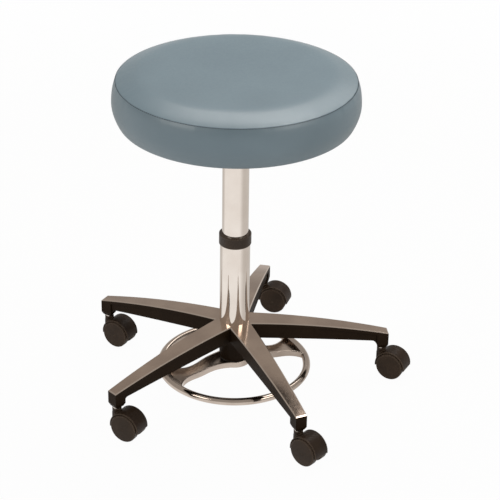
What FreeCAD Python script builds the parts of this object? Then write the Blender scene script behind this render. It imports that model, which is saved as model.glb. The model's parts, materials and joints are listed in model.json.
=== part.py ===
"""Foot-operated gas-lift stool: padded seat, two-tube column, five-leg base and a tilting foot ring."""
import FreeCAD
import Part
import Sketcher
import math
import os
import re

# Driving sizes in millimetres and degrees. Heights are above the floor, on the column's axis.
SIZES = {
    # Fits between pieces
    "close_fit": 0.05,
    "running_fit": 0.08,
    "soft_gap": 0.3,
    # Round padded seat: heights above the plate, and the crown above the seam
    "seat_diameter": 406.4,
    "bulge_rise": 33.5,
    "skirt_inset": 11.2,
    "skirt_rise": 2.0,
    "seam_inset": 8.4,
    "seam_rise": 70.8,
    "crown_rise": 16.7,
    "seam_width": 3.0,
    "seam_depth": 2.0,
    "shoulder_inset": 38.2,
    "shoulder_drop": 4.0,
    "shoulder_bulge": 2.2,
    # Seat board, its cover and the steel plate under it
    "plate_height": 492.0,
    "plate_width": 152.4,
    "plate_corner": 14.0,
    "plate_thickness": 3.0,
    "cover_thickness": 0.8,
    "cover_inset": 0.5,
    "board_inset": 15.2,
    "board_thickness": 12.7,
    "bolt_count": 4,
    "bolt_inset": 14.3,
    "bolt_diameter": 6.35,
    "bolt_head_diameter": 12.0,
    "bolt_head_height": 4.0,
    "nut_barrel_diameter": 9.0,
    "nut_flange_diameter": 19.0,
    "nut_flange_thickness": 1.6,
    "socket_depth": 32.0,
    # Column
    "column_diameter": 50.8,
    "column_wall": 1.65,
    "column_foot": 84.0,
    "column_top": 284.0,
    "collar_wall": 1.8,
    "collar_cap": 3.0,
    "collar_skirt": 17.0,
    "collar_sleeve": 22.0,
    "collar_edge": 1.2,
    "slide_gap": 1.525,
    "stem_tube_wall": 1.65,
    "bush_gap": 2.0,
    "bush_length": 24.0,
    "bush_foot": 3.0,
    # Gas spring
    "cylinder_diameter": 28.0,
    "cylinder_wall": 1.8,
    "cylinder_drop": 2.0,
    "cylinder_cap": 36.0,
    "cylinder_head_diameter": 25.6,
    "cylinder_head_length": 28.0,
    "guide_length": 15.0,
    "piston_length": 14.0,
    "rod_diameter": 10.0,
    "rod_spigot_diameter": 8.0,
    "rod_clearance": 5.0,
    "pin_diameter": 3.2,
    "pin_length": 60.0,
    "pin_clearance": 0.2,
    "pin_room": 2.8,
    "plug_thickness": 10.0,
    "washer_diameter": 22.0,
    "washer_thickness": 3.0,
    "clip_diameter": 15.0,
    "clip_thickness": 1.5,
    "clip_groove": 1.0,
    # Five-leg base
    "leg_count": 5,
    "first_leg_angle": 270.0,
    "leg_root": 18.0,
    "leg_reach": 268.5,
    "leg_top_root": 121.4,
    "leg_top_middle": 107.5,
    "leg_top_tip": 82.7,
    "leg_under_root": 92.8,
    "leg_under_middle": 80.0,
    "leg_under_tip": 65.0,
    "leg_root_width": 40.2,
    "leg_tip_width": 19.8,
    "leg_bevel": 1.6,
    "leg_lip": 7.5,
    "recess_root": 0.4,
    "recess_tip": 2.6,
    "leg_wall": 3.6,
    "leg_top_wall": 5.0,
    "bay_start": 50.0,
    "bay_count": 3,
    "rib_thickness": 4.0,
    "post_length": 20.0,
    "post_shoulder": 59.5,
    "post_foot": 53.5,
    "post_taper": 2.8,
    "gusset_length": 16.0,
    "gusset_bow": 0.3,
    "hub_wall": 5.6,
    "hub_drop": 3.4,
    "barrel_foot": 50.0,
    "barrel_foot_diameter": 50.0,
    "barrel_wall": 1.1,
    "barrel_shoulder": 72.0,
    "flare_height": 90.0,
    "flare_bow": 0.3,
    "barrel_bore": 37.0,
    # Foot ring and the rocker that lifts the release pin
    "ring_circle": 252.0,
    "ring_rod": 12.7,
    "ring_drop": 18.0,
    "ring_angle": 3.5,
    "bar_drop": 1.0,
    "bar_fall": 10.6,
    "bar_crest": 30.0,
    "bar_landing": 90.0,
    "bar_depth": 10.5,
    "bar_spare": 4.0,
    "bar_waist": 80.0,
    "bar_waist_width": 27.0,
    "bar_hub_width": 55.0,
    "bar_hub_bow": 0.27,
    "bar_flare": 42.4,
    "bar_spread_angle": 18.6,
    "bar_rim": 3.2,
    "trough_depth": 8.5,
    "bar_round": 1.2,
    "cup_gap": 1.3,
    "cup_wall": 2.0,
    "cup_blend": 20.0,
    "ring_hub_diameter": 24.0,
    "ring_hub_gap": 8.0,
    "ring_hub_height": 9.0,
    "retainer_thickness": 2.5,
    "retainer_bore": 23.0,
    "retainer_screw_count": 3,
    "retainer_screw_diameter": 3.0,
    "retainer_screw_length": 12.0,
    "screw_head_diameter": 5.4,
    "screw_head_height": 1.6,
    "rocker_neck_diameter": 18.0,
    "rocker_flange_diameter": 33.0,
    "rocker_flange_thickness": 3.5,
    "rocker_post": 0.3,
    "rocker_dome_diameter": 12.8,
    "rocker_dome_rise": 3.2,
    "rocker_screw_diameter": 8.0,
    "rocker_screw_head_diameter": 15.0,
    "rocker_screw_head_height": 4.5,
    "rocker_screw_depth": 15.0,
    # Twin-wheel casters, each with the direction it trails in
    "front_caster_angle": -66.0,
    "right_caster_angle": -52.0,
    "rear_caster_angle": -42.0,
    "left_caster_angle": -56.0,
    "near_caster_angle": -55.0,
    "caster_trail": 22.7,
    "wheel_diameter": 48.5,
    "wheel_rim": 4.0,
    "wheel_edge": 2.0,
    "wheel_back_edge": 1.0,
    "wheel_face_thickness": 3.5,
    "wheel_face_crown": 0.7,
    "wheel_stand": 2.3,
    "wheel_hub_diameter": 14.0,
    "wheel_gap": 0.5,
    "axle_diameter": 6.0,
    "hood_gap": 1.2,
    "hood_wall": 1.8,
    "hood_width": 31.0,
    "hood_tail_angle": -6.0,
    "hood_nose_angle": 187.0,
    "hood_round": 0.6,
    "web_thickness": 12.0,
    "web_drop": 8.0,
    "web_lap": 1.0,
    "web_round": 4.0,
    "boss_diameter": 15.5,
    "boss_gap": 0.6,
    "boss_length": 10.0,
    "stem_diameter": 11.1,
    "stem_length": 22.0,
    "stem_flange_diameter": 14.0,
    "stem_flange_thickness": 2.5,
    "stem_journal_diameter": 8.0,
    "stem_journal_length": 27.0,
    "socket_clearance": 1.0,
}

doc = FreeCAD.newDocument("stool")
sheet = doc.addObject("Spreadsheet::Sheet", "Sizes")
for row, (name, size) in enumerate(SIZES.items(), 1):
    sheet.set(f"A{row}", name)
    sheet.set(f"B{row}", str(size))
    sheet.setAlias(f"B{row}", name)
doc.recompute()

pieces = []


def tied(formula):
    """The formula with each size's name pointing at its cell."""
    return re.sub(r"[a-z_]+", lambda word: f"Sizes.{word[0]}" if word[0] in SIZES else word[0], formula)


def value(formula):
    return float(sheet.evalExpression(tied(formula)))


def new_piece(label):
    body = doc.addObject("PartDesign::Body", label)
    body.Label = label
    pieces.append(body)
    return body


def origin_feature(body, role):
    return next(feature for feature in body.Origin.OriginFeatures if feature.Role == role)


def new_sketch(body, name, role, offset="0"):
    """An empty sketch on one of the body's own planes, moved along the plane's normal by offset."""
    sketch = body.newObject("Sketcher::SketchObject", f"{body.Name}_{name}")
    sketch.AttachmentSupport = (origin_feature(body, role), [""])
    sketch.MapMode = "FlatFace"
    sketch.setExpression("AttachmentOffset.Base.z", tied(offset))
    return sketch


def fix_point(sketch, geometry, end, point):
    """Hold one point of the sketch at two formulas, measured from the sketch's origin."""
    for kind, formula in zip(("DistanceX", "DistanceY"), point):
        number = sketch.addConstraint(Sketcher.Constraint(kind, -1, 1, geometry, end, value(formula)))
        sketch.setExpression(f"Constraints[{number}]", tied(formula))


def arc_through(start, middle, end):
    """The arc and which of its ends lies at start: arcs are stored anticlockwise."""
    turn = (middle - start).cross(end - start).z
    round_path = Part.Circle(start, middle, end)
    circle = Part.Circle(round_path.Center, FreeCAD.Vector(0, 0, 1), round_path.Radius)
    first, last = (start, end) if turn > 0 else (end, start)
    angles = [math.atan2(point.y - circle.Center.y, point.x - circle.Center.x) for point in (first, last)]
    return Part.ArcOfCircle(circle, angles[0], angles[1]), 1 if turn > 0 else 2


def draw(sketch, *steps):
    """A closed outline. A step is a corner (x, y), or (through, corner) for an arc ending at the corner."""
    def corner(step):
        return step[1] if isinstance(step[0], tuple) else step

    def spot(point):
        return FreeCAD.Vector(value(point[0]), value(point[1]), 0)

    runs = []
    for before, step in zip((steps[-1],) + steps[:-1], steps):
        if isinstance(step[0], tuple):
            arc, start = arc_through(spot(corner(before)), spot(step[0]), spot(corner(step)))
            run = sketch.addGeometry(arc)
            middle = sketch.addGeometry(Part.Point(spot(step[0])), True)
            sketch.addConstraint(Sketcher.Constraint("PointOnObject", middle, 1, run))
            fix_point(sketch, middle, 1, step[0])
        else:
            run = sketch.addGeometry(Part.LineSegment(spot(corner(before)), spot(corner(step))))
            start = 1
        runs.append((run, start, 3 - start))
    for (run, start, end), (following, next_start, _), step in zip(runs, runs[1:] + runs[:1], steps):
        sketch.addConstraint(Sketcher.Constraint("Coincident", run, end, following, next_start))
        fix_point(sketch, run, end, corner(step))


def draw_circle(sketch, x, y, diameter):
    spot = FreeCAD.Vector(value(x), value(y), 0)
    ring = sketch.addGeometry(Part.Circle(spot, FreeCAD.Vector(0, 0, 1), value(diameter) / 2))
    fix_point(sketch, ring, 3, (x, y))
    number = sketch.addConstraint(Sketcher.Constraint("Diameter", ring, value(diameter)))
    sketch.setExpression(f"Constraints[{number}]", tied(diameter))


def dome_middle(radius, rise, top):
    """A point half way out on the round dome that rises to top at the sketch's Y axis."""
    sphere = f"((({radius}) ^ 2 + ({rise}) ^ 2) / (2 * ({rise})))"
    return (f"({radius}) / 2", f"{top} - {sphere} + sqrt({sphere} ^ 2 - ({radius}) ^ 2 / 4)")


def extrude(body, kind, sketch, length, symmetric=False, reverse=False):
    feature = body.newObject(f"PartDesign::{kind}", f"{sketch.Name}_{kind.lower()}")
    feature.Profile = sketch
    feature.SideType = "Symmetric" if symmetric else "One side"
    feature.Reversed = reverse
    feature.setExpression("Length", tied(length))
    return feature


def revolve(body, kind, sketch, axis="V_Axis"):
    feature = body.newObject(f"PartDesign::{kind}", f"{sketch.Name}_{kind.lower()}")
    feature.Profile = sketch
    feature.ReferenceAxis = (sketch, [axis])
    feature.Angle = 360
    return feature


def loft(body, kind, sections):
    feature = body.newObject(f"PartDesign::{kind}", f"{sections[0].Name}_loft")
    feature.Profile = sections[0]
    feature.Sections = list(sections[1:])
    return feature


def repeat(body, features, count):
    """The features again at even angles round the body's Z axis."""
    pattern = body.newObject("PartDesign::PolarPattern", f"{body.Name}_repeat")
    pattern.Originals = features
    pattern.Axis = (origin_feature(body, "Z_Axis"), [""])
    pattern.Angle = 360
    pattern.setExpression("Occurrences", tied(count))
    body.Tip = pattern
    return pattern


def soften(body, kind, edge_wanted, size):
    """Round or bevel the edges of the body so far that edge_wanted picks."""
    doc.recompute()
    shape = body.Tip.Shape
    names = [f"Edge{number}" for number, edge in enumerate(shape.Edges, 1) if edge_wanted(edge)]
    feature = body.newObject(f"PartDesign::{kind}", f"{body.Name}_{kind.lower()}")
    feature.Base = (feature.BaseFeature, names)
    feature.setExpression("Radius" if kind == "Fillet" else "Size", tied(size))
    body.Tip = feature
    return feature


def place(body, x="0", y="0", z="0", turn="0"):
    for axis, formula in zip("xyz", (x, y, z)):
        body.setExpression(f"Placement.Base.{axis}", tied(formula))
    body.setExpression("Placement.Rotation.Angle", tied(turn))


def turned(label, *steps):
    """A piece turned about the column's axis: X in the outline is its radius and Y its height."""
    body = new_piece(label)
    sketch = new_sketch(body, "profile", "XZ_Plane")
    draw(sketch, *steps)
    revolve(body, "Revolution", sketch)
    return body


def turned_set(label, circle, count, steps, turn="0"):
    """Equal turned pieces standing on a circle: each step's X is a radius about its own axis."""
    body = new_piece(label)
    sketch = new_sketch(body, "profile", "XZ_Plane")
    draw(sketch, *[(f"{circle} / 2 + {x}", y) for x, y in steps])
    low, high = (FreeCAD.Vector(value(f"{circle} / 2"), value(y), 0) for y in (steps[0][1], steps[-1][1]))
    axis = sketch.addGeometry(Part.LineSegment(low, high), True)
    fix_point(sketch, axis, 1, (f"{circle} / 2", steps[0][1]))
    fix_point(sketch, axis, 2, (f"{circle} / 2", steps[-1][1]))
    repeat(body, [revolve(body, "Revolution", sketch, "Axis0")], count)
    place(body, turn=turn)
    return body


def tube(label, outer, inner, foot, top):
    return turned(label, (inner, foot), (outer, foot), (outer, top), (inner, top))


# Heights and radii that several pieces share
plate_top = "(plate_height + plate_thickness)"
cover_top = f"({plate_top} + cover_thickness)"
board_top = f"({cover_top} + board_thickness)"
board_radius = "(seat_diameter / 2 - board_inset)"
bolt_spot = "(plate_width / 2 - bolt_inset)"
bolt_circle = f"(2 * sqrt(2) * {bolt_spot})"
column_radius = "(column_diameter / 2)"
column_bore = "(column_diameter / 2 - column_wall)"
stem_tube_radius = f"({column_bore} - slide_gap)"
stem_tube_bore = f"({stem_tube_radius} - stem_tube_wall)"
stem_tube_foot = "(column_top - collar_sleeve - bush_gap - bush_length)"
cylinder_radius = "(cylinder_diameter / 2)"
cylinder_bore = "(cylinder_diameter / 2 - cylinder_wall)"
cylinder_top = "(plate_height - close_fit)"
cylinder_foot = f"({stem_tube_foot} - bush_foot - cylinder_drop)"
plug_top = "(column_foot + plug_thickness)"
washer_top = f"({plug_top} + washer_thickness)"
guide_top = f"({cylinder_foot} + guide_length)"
piston_foot = f"({guide_top} + soft_gap)"
piston_top = f"({piston_foot} + piston_length)"
retainer_foot = "(barrel_foot - retainer_thickness)"
flange_top = "(barrel_foot + rocker_flange_thickness)"
dome_top = f"({flange_top} + rocker_post + rocker_dome_rise)"
pin_foot = f"({dome_top} + pin_clearance)"
pin_top = f"({pin_foot} + pin_length)"
rod_foot = f"({dome_top} + rod_clearance)"
hub_radius = f"({column_radius} + hub_wall)"
barrel_radius = f"({column_radius} + barrel_wall)"
bar_top = "(barrel_foot - bar_drop)"
bar_end_top = f"({bar_top} - bar_fall)"
bar_low = f"({bar_end_top} - bar_depth - bar_spare)"
bar_high = f"({bar_top} + bar_spare)"
ring_hub_top = "(barrel_foot - ring_hub_gap)"
ring_hub_foot = f"({ring_hub_top} - ring_hub_height)"
screw_circle = "((barrel_bore + barrel_foot_diameter) / 2)"
caster_radius = "(leg_reach - post_length / 2)"
hood_radius = "(wheel_diameter / 2 + hood_gap + hood_wall)"
boss_top = "(post_foot - stem_flange_thickness - boss_gap)"
boss_foot = f"({boss_top} - boss_length)"
wheel_face = "(hood_width / 2 + wheel_stand)"
axle_end = f"({wheel_face} - wheel_face_thickness)"
leg_angles = [f"(first_leg_angle + 360 / leg_count * {leg})" for leg in range(int(SIZES["leg_count"]))]
caster_angles = [f"{place}_caster_angle" for place in ("front", "right", "rear", "left", "near")]


def seat_cushion():
    """Foam and cover in one: a crowned top, a sewn seam, bulging sides and a skirt round the board."""
    seam = "(seat_diameter / 2 - seam_inset)"
    seam_height = "(plate_height + seam_rise)"
    top = f"({seam_height} + crown_rise)"
    shoulder = ("(seat_diameter / 2 - shoulder_inset)", f"({top} - shoulder_drop)")
    shoulder_middle = [f"({a} + {b}) / 2 + shoulder_bulge" for a, b in zip((seam, seam_height), shoulder)]
    inside = f"({board_radius} + soft_gap)"
    skirt_height = "plate_height + skirt_rise"
    turned(
        "seat_cushion",
        ("0", board_top),
        (inside, board_top),
        (inside, skirt_height),
        ("seat_diameter / 2 - skirt_inset", skirt_height),
        (("seat_diameter / 2", "plate_height + bulge_rise"), (seam, f"{seam_height} - seam_width / 2")),
        (f"{seam} - seam_depth", seam_height),
        (seam, f"{seam_height} + seam_width / 2"),
        (tuple(shoulder_middle), shoulder),
        (dome_middle(shoulder[0], "shoulder_drop", top), ("0", top)),
    )


def bolt_holes(body, base_height, diameter, depth):
    """Holes on the seat bolts' circle, cut upwards from base_height."""
    sketch = new_sketch(body, "bolt_hole", "XY_Plane", base_height)
    draw_circle(sketch, bolt_spot, bolt_spot, diameter)
    repeat(body, [extrude(body, "Pocket", sketch, depth, reverse=True)], "bolt_count")


def seat_board():
    board = turned(
        "seat_board",
        ("0", cover_top),
        (board_radius, cover_top),
        (board_radius, board_top),
        ("0", board_top),
    )
    bolt_holes(board, cover_top, "nut_barrel_diameter + 2 * close_fit", "board_thickness")
    sink_foot = f"{board_top} - nut_flange_thickness"
    bolt_holes(board, sink_foot, "nut_flange_diameter + 2 * close_fit", "nut_flange_thickness")


def dust_cover():
    rim = f"{board_radius} - cover_inset"
    cover = turned(
        "dust_cover",
        ("0", plate_top),
        (rim, plate_top),
        (rim, cover_top),
        ("0", cover_top),
    )
    bolt_holes(cover, plate_top, "bolt_diameter + 2 * close_fit", "cover_thickness")


def seat_plate():
    """Square steel plate with cut corners, bolted under the board."""
    plate = new_piece("seat_plate")
    sketch = new_sketch(plate, "outline", "XY_Plane", "plate_height")
    side = "plate_width / 2"
    cut = "(plate_width / 2 - plate_corner)"
    half = ((f"-{cut}", f"-{side}"), (cut, f"-{side}"), (side, f"-{cut}"), (side, cut))
    draw(sketch, *half, *[(f"-({x})", f"-({y})") for x, y in half])
    extrude(plate, "Pad", sketch, "plate_thickness")
    bolt_holes(plate, "plate_height", "bolt_diameter + 2 * close_fit", "plate_thickness")


def seat_fasteners():
    """Bolts up through the plate, cover and board, and the tee nuts sunk in the board's top."""
    shank = "bolt_diameter / 2"
    head = "bolt_head_diameter / 2"
    turned_set("plate_bolts", bolt_circle, "bolt_count", (
        ("0", "plate_height - bolt_head_height"),
        (head, "plate_height - bolt_head_height"),
        (head, "plate_height"),
        (shank, "plate_height"),
        (shank, f"{board_top} - nut_flange_thickness"),
        ("0", f"{board_top} - nut_flange_thickness"),
    ), turn="180 / bolt_count")
    barrel = "nut_barrel_diameter / 2"
    flange = "nut_flange_diameter / 2"
    bore = "(bolt_diameter / 2 + close_fit)"
    turned_set("tee_nuts", bolt_circle, "bolt_count", (
        (bore, cover_top),
        (barrel, cover_top),
        (barrel, f"{board_top} - nut_flange_thickness"),
        (flange, f"{board_top} - nut_flange_thickness"),
        (flange, board_top),
        (bore, board_top),
    ), turn="180 / bolt_count")


def seat_socket():
    """Tapered sleeve under the plate: it grips the cylinder's head and plugs the stem tube."""
    outer = f"{stem_tube_bore} - close_fit"
    foot = "plate_height - socket_depth"
    head_foot = "plate_height - cylinder_head_length"
    turned(
        "seat_socket",
        (f"{cylinder_radius} + close_fit", foot),
        (outer, foot),
        (outer, "plate_height"),
        ("cylinder_head_diameter / 2 + close_fit", "plate_height"),
        (f"{cylinder_radius} + close_fit", head_foot),
    )


def column_tubes():
    tube("column_tube", column_radius, column_bore, "column_foot", "column_top")
    tube("stem_tube", stem_tube_radius, stem_tube_bore, stem_tube_foot, "plate_height")


def column_collar():
    """Nylon guide ring: a cap over the column tube's rim, with a sleeve inside it."""
    bore = f"({stem_tube_radius} + running_fit)"
    rim = f"({column_radius} + collar_wall)"
    skirt = "(column_top - collar_skirt)"
    top = "(column_top + collar_cap)"
    turned(
        "column_collar",
        (bore, "column_top - collar_sleeve"),
        (f"{column_bore} - close_fit", "column_top - collar_sleeve"),
        (f"{column_bore} - close_fit", "column_top"),
        (f"{column_radius} + close_fit", "column_top"),
        (f"{column_radius} + close_fit", skirt),
        (f"{rim} - collar_edge", skirt),
        (rim, f"{skirt} + collar_edge"),
        (rim, f"{top} - collar_edge"),
        (f"{rim} - collar_edge", top),
        (bore, top),
    )


def slide_bush():
    """Nylon shoe on the stem tube's lower end: it runs in the column and centres the cylinder."""
    outer = f"{column_bore} - running_fit"
    step = f"{stem_tube_radius} + close_fit"
    turned(
        "slide_bush",
        (f"{cylinder_radius} + close_fit", f"{stem_tube_foot} - bush_foot"),
        (outer, f"{stem_tube_foot} - bush_foot"),
        (outer, f"{stem_tube_foot} + bush_length"),
        (step, f"{stem_tube_foot} + bush_length"),
        (step, stem_tube_foot),
        (f"{cylinder_radius} + close_fit", stem_tube_foot),
    )


def gas_spring():
    """Cylinder with its tapered head, rod guide, piston, hollow rod and release pin."""
    head_foot = "plate_height - cylinder_head_length"
    turned(
        "gas_cylinder",
        (cylinder_bore, cylinder_foot),
        (cylinder_radius, cylinder_foot),
        (cylinder_radius, head_foot),
        ("cylinder_head_diameter / 2", cylinder_top),
        ("0", cylinder_top),
        ("0", f"{cylinder_top} - cylinder_cap"),
        (cylinder_bore, f"{cylinder_top} - cylinder_cap"),
    )
    rod = "rod_diameter / 2"
    spigot = "rod_spigot_diameter / 2"
    tube("rod_guide", f"{cylinder_bore} - close_fit", f"{rod} + running_fit", cylinder_foot, guide_top)
    tube("piston", f"{cylinder_bore} - running_fit", f"{spigot} + close_fit", piston_foot, piston_top)
    bore = "(pin_diameter / 2 + running_fit)"
    groove = f"({spigot} - clip_groove)"
    clip_top = "(column_foot - close_fit)"
    turned(
        "piston_rod",
        (bore, rod_foot),
        (spigot, rod_foot),
        (spigot, f"{clip_top} - clip_thickness - close_fit"),
        (groove, f"{clip_top} - clip_thickness - close_fit"),
        (groove, f"{clip_top} + close_fit"),
        (spigot, f"{clip_top} + close_fit"),
        (spigot, washer_top),
        (rod, washer_top),
        (rod, piston_foot),
        (spigot, piston_foot),
        (spigot, piston_top),
        ("0", piston_top),
        ("0", f"{pin_top} + pin_room"),
        (bore, f"{pin_top} + pin_room"),
    )
    turned(
        "release_pin",
        ("0", pin_foot),
        ("pin_diameter / 2", pin_foot),
        ("pin_diameter / 2", pin_top),
        ("0", pin_top),
    )
    hole = f"{spigot} + running_fit"
    tube("thrust_washer", "washer_diameter / 2", hole, plug_top, washer_top)
    tube("column_plug", f"{column_bore} - close_fit", hole, "column_foot", plug_top)
    tube("rod_clip", "clip_diameter / 2", f"{groove} + close_fit", f"{clip_top} - clip_thickness", clip_top)


def along_leg(station):
    """How far a station lies from the leg's root to its tip, from 0 to 1."""
    return f"(({station} - leg_root) / (leg_reach - leg_root))"


def straight(station, root, tip):
    return f"({root} + ({tip} - {root}) * {along_leg(station)})"


def arched(station, root, middle, tip):
    """The parabola through a value at the leg's root, middle and tip."""
    way = along_leg(station)
    return (
        f"({root} * (2 * {way} ^ 2 - 3 * {way} + 1) + {middle} * (4 * {way} - 4 * {way} ^ 2)"
        f" + {tip} * (2 * {way} ^ 2 - {way}))"
    )


def leg_top(station):
    return arched(station, "leg_top_root", "leg_top_middle", "leg_top_tip")


def leg_under(station):
    return arched(station, "leg_under_root", "leg_under_middle", "leg_under_tip")


def leg_half(station):
    return f"({straight(station, 'leg_root_width', 'leg_tip_width')} / 2)"


def web_half(station):
    return f"({leg_half(station)} - {straight(station, 'recess_root', 'recess_tip')})"


def leg_section(base, station):
    """Cross-section of a leg: a bevelled top plate that overhangs a narrower web."""
    sketch = new_sketch(base, "leg", "YZ_Plane", station)
    top = leg_top(station)
    half = leg_half(station)
    web = web_half(station)
    right = (
        (web, leg_under(station)),
        (web, f"{top} - leg_lip"),
        (half, f"{top} - leg_lip"),
        (half, f"{top} - leg_bevel"),
        (f"{half} - leg_bevel", top),
    )
    draw(sketch, *right, *[(f"-({y})", z) for y, z in reversed(right)])
    return sketch


def box_section(base, name, station, half, low, high):
    """An upright rectangle across the leg at a station."""
    sketch = new_sketch(base, name, "YZ_Plane", station)
    draw(sketch, (f"-({half})", low), (half, low), (half, high), (f"-({half})", high))
    return sketch


def post_section(base, height, inset):
    """The end post's outline at one height, drawn in by inset."""
    inner = "(leg_reach - post_length)"
    sketch = new_sketch(base, "post_foot", "XY_Plane", height)
    draw(
        sketch,
        (f"{inner} + {inset}", f"-({leg_half(inner)} - {inset})"),
        (f"leg_reach - {inset}", f"-({leg_half('leg_reach')} - {inset})"),
        (f"leg_reach - {inset}", f"{leg_half('leg_reach')} - {inset}"),
        (f"{inner} + {inset}", f"{leg_half(inner)} - {inset}"),
    )
    return sketch


def leg_gusset(base, post):
    """Curved web that carries the leg's underside down into its end post."""
    start = f"({post} - gusset_length)"
    under = leg_under(start)
    sketch = new_sketch(base, "gusset", "XZ_Plane")
    draw(
        sketch,
        (f"{post} + leg_bevel", "post_shoulder"),
        (f"{post} + leg_bevel", f"{under} + leg_bevel"),
        (start, f"{under} + leg_bevel"),
        (start, under),
        (
            (f"{post} - gusset_bow * gusset_length", f"{under} - gusset_bow * ({under} - post_shoulder)"),
            (post, "post_shoulder"),
        ),
    )
    return extrude(base, "Pad", sketch, f"2 * {web_half('leg_reach')}", symmetric=True)


def leg_bay(base, number):
    """One hollow in the leg's underside, between two ribs."""
    end = "(leg_reach - post_length - gusset_length)"
    near = f"(bay_start + ({end} - bay_start) * {number} / bay_count + rib_thickness / 2)"
    far = f"(bay_start + ({end} - bay_start) * ({number} + 1) / bay_count - rib_thickness / 2)"
    return loft(base, "SubtractiveLoft", [
        box_section(base, "bay", at, f"{web_half(at)} - leg_wall", f"{leg_under(at)} - leg_top_wall",
                    f"{leg_top(at)} - leg_top_wall")
        for at in (near, far)
    ])


def leg_features(base):
    """One leg along X: arched beam, end post, gusset, underside bays and the caster's socket."""
    post = "(leg_reach - post_length)"
    middle = "((leg_root + leg_reach) / 2)"
    beam = loft(base, "AdditiveLoft", [leg_section(base, at) for at in ("leg_root", middle, "leg_reach")])
    block = loft(base, "AdditiveLoft", [
        box_section(base, "post", at, leg_half(at), "post_shoulder", f"{leg_top(at)} - leg_lip / 2")
        for at in (post, "leg_reach")
    ])
    foot = loft(base, "AdditiveLoft", [
        post_section(base, "post_shoulder", "0"),
        post_section(base, "post_foot", "post_taper"),
    ])
    gusset = leg_gusset(base, post)
    bays = [leg_bay(base, number) for number in range(int(SIZES["bay_count"]))]
    socket = new_sketch(base, "stem_socket", "XY_Plane", "post_foot")
    draw_circle(socket, caster_radius, "0", "stem_diameter + 2 * close_fit")
    hole = extrude(base, "Pocket", socket, "stem_length + socket_clearance", reverse=True)
    return [beam, block, foot, gusset] + bays + [hole]


def star_base():
    """Cast five-leg base: polished arched legs with hollow, ribbed undersides round a hub and barrel."""
    base = new_piece("star_base")
    hub = new_sketch(base, "hub", "XZ_Plane")
    hub_height = "leg_top_root - hub_drop"
    flare = f"{barrel_radius} + flare_bow * ({hub_radius} - {barrel_radius})"
    draw(
        hub,
        ("0", "barrel_foot"),
        ("barrel_foot_diameter / 2", "barrel_foot"),
        (barrel_radius, "barrel_shoulder"),
        ((flare, "(barrel_shoulder + flare_height) / 2"), (hub_radius, "flare_height")),
        (hub_radius, hub_height),
        ("0", hub_height),
    )
    revolve(base, "Revolution", hub)
    repeat(base, leg_features(base), "leg_count")
    bore = new_sketch(base, "bore", "XZ_Plane")
    tube_seat = f"{column_radius} + close_fit"
    draw(
        bore,
        ("0", "barrel_foot"),
        ("barrel_bore / 2", "barrel_foot"),
        ("barrel_bore / 2", "column_foot"),
        (tube_seat, "column_foot"),
        (tube_seat, "column_top"),
        ("0", "column_top"),
    )
    base.Tip = revolve(base, "Groove", bore)
    screw_hole = new_sketch(base, "screw_hole", "XY_Plane", "barrel_foot")
    draw_circle(screw_hole, f"{screw_circle} / 2", "0", "retainer_screw_diameter + 2 * close_fit")
    repeat(base, [extrude(base, "Pocket", screw_hole, "retainer_screw_length", reverse=True)],
           "retainer_screw_count")

    def at_leg_end(edge):
        middle = edge.CenterOfMass
        far_out = math.hypot(middle.x, middle.y) > value("leg_reach - leg_bevel")
        return far_out and abs(middle.z - value("leg_top_tip")) < value("close_fit")

    soften(base, "Chamfer", at_leg_end, "leg_bevel")
    place(base, turn="first_leg_angle")


def flare_width(station, inset):
    """Half width of the ring's bar beyond its waist, where its side is an arc."""
    return (
        f"(bar_waist_width / 2 + bar_flare - {inset}"
        f" - sqrt(bar_flare ^ 2 - ({station} - bar_waist) ^ 2))"
    )


def bar_outline(inset):
    """Bow-tie plan of the cast bar: wide at the hub, a waist on each side and a flare into the ring."""
    reach = f"(ring_circle / 2 * cos(bar_spread_angle) - {inset})"
    flare = f"((bar_waist + {reach}) / 2)"
    hub_bow = "bar_hub_bow * (bar_hub_width - bar_waist_width) / 2"
    tip = (reach, flare_width(reach, inset))
    hub = ("0", f"bar_hub_width / 2 - {inset}")
    waist = ("bar_waist", f"bar_waist_width / 2 - {inset}")
    hub_middle = ("bar_waist / 2", f"bar_waist_width / 2 - {inset} + {hub_bow}")
    flare_middle = (flare, flare_width(flare, inset))
    return hub, hub_middle, waist, flare_middle, tip


def flip(point, across=False, along=False):
    x, y = point
    return (f"-({x})" if along else x, f"-({y})" if across else y)


def bow_tie(sketch, inset, end):
    """The bar's plan, moved in by inset, with rounded ends that pass through end."""
    hub, hub_middle, waist, flare_middle, tip = bar_outline(inset)
    draw(
        sketch,
        (flip(flare_middle, across=True), flip(tip, across=True)),
        (end, tip),
        (flare_middle, waist),
        (hub_middle, hub),
        (flip(hub_middle, along=True), flip(waist, along=True)),
        (flip(flare_middle, along=True), flip(tip, along=True)),
        (flip(end, along=True), flip(tip, True, True)),
        (flip(flare_middle, True, True), flip(waist, True, True)),
        (flip(hub_middle, True, True), flip(hub, across=True)),
        (flip(hub_middle, across=True), flip(waist, across=True)),
    )


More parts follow.
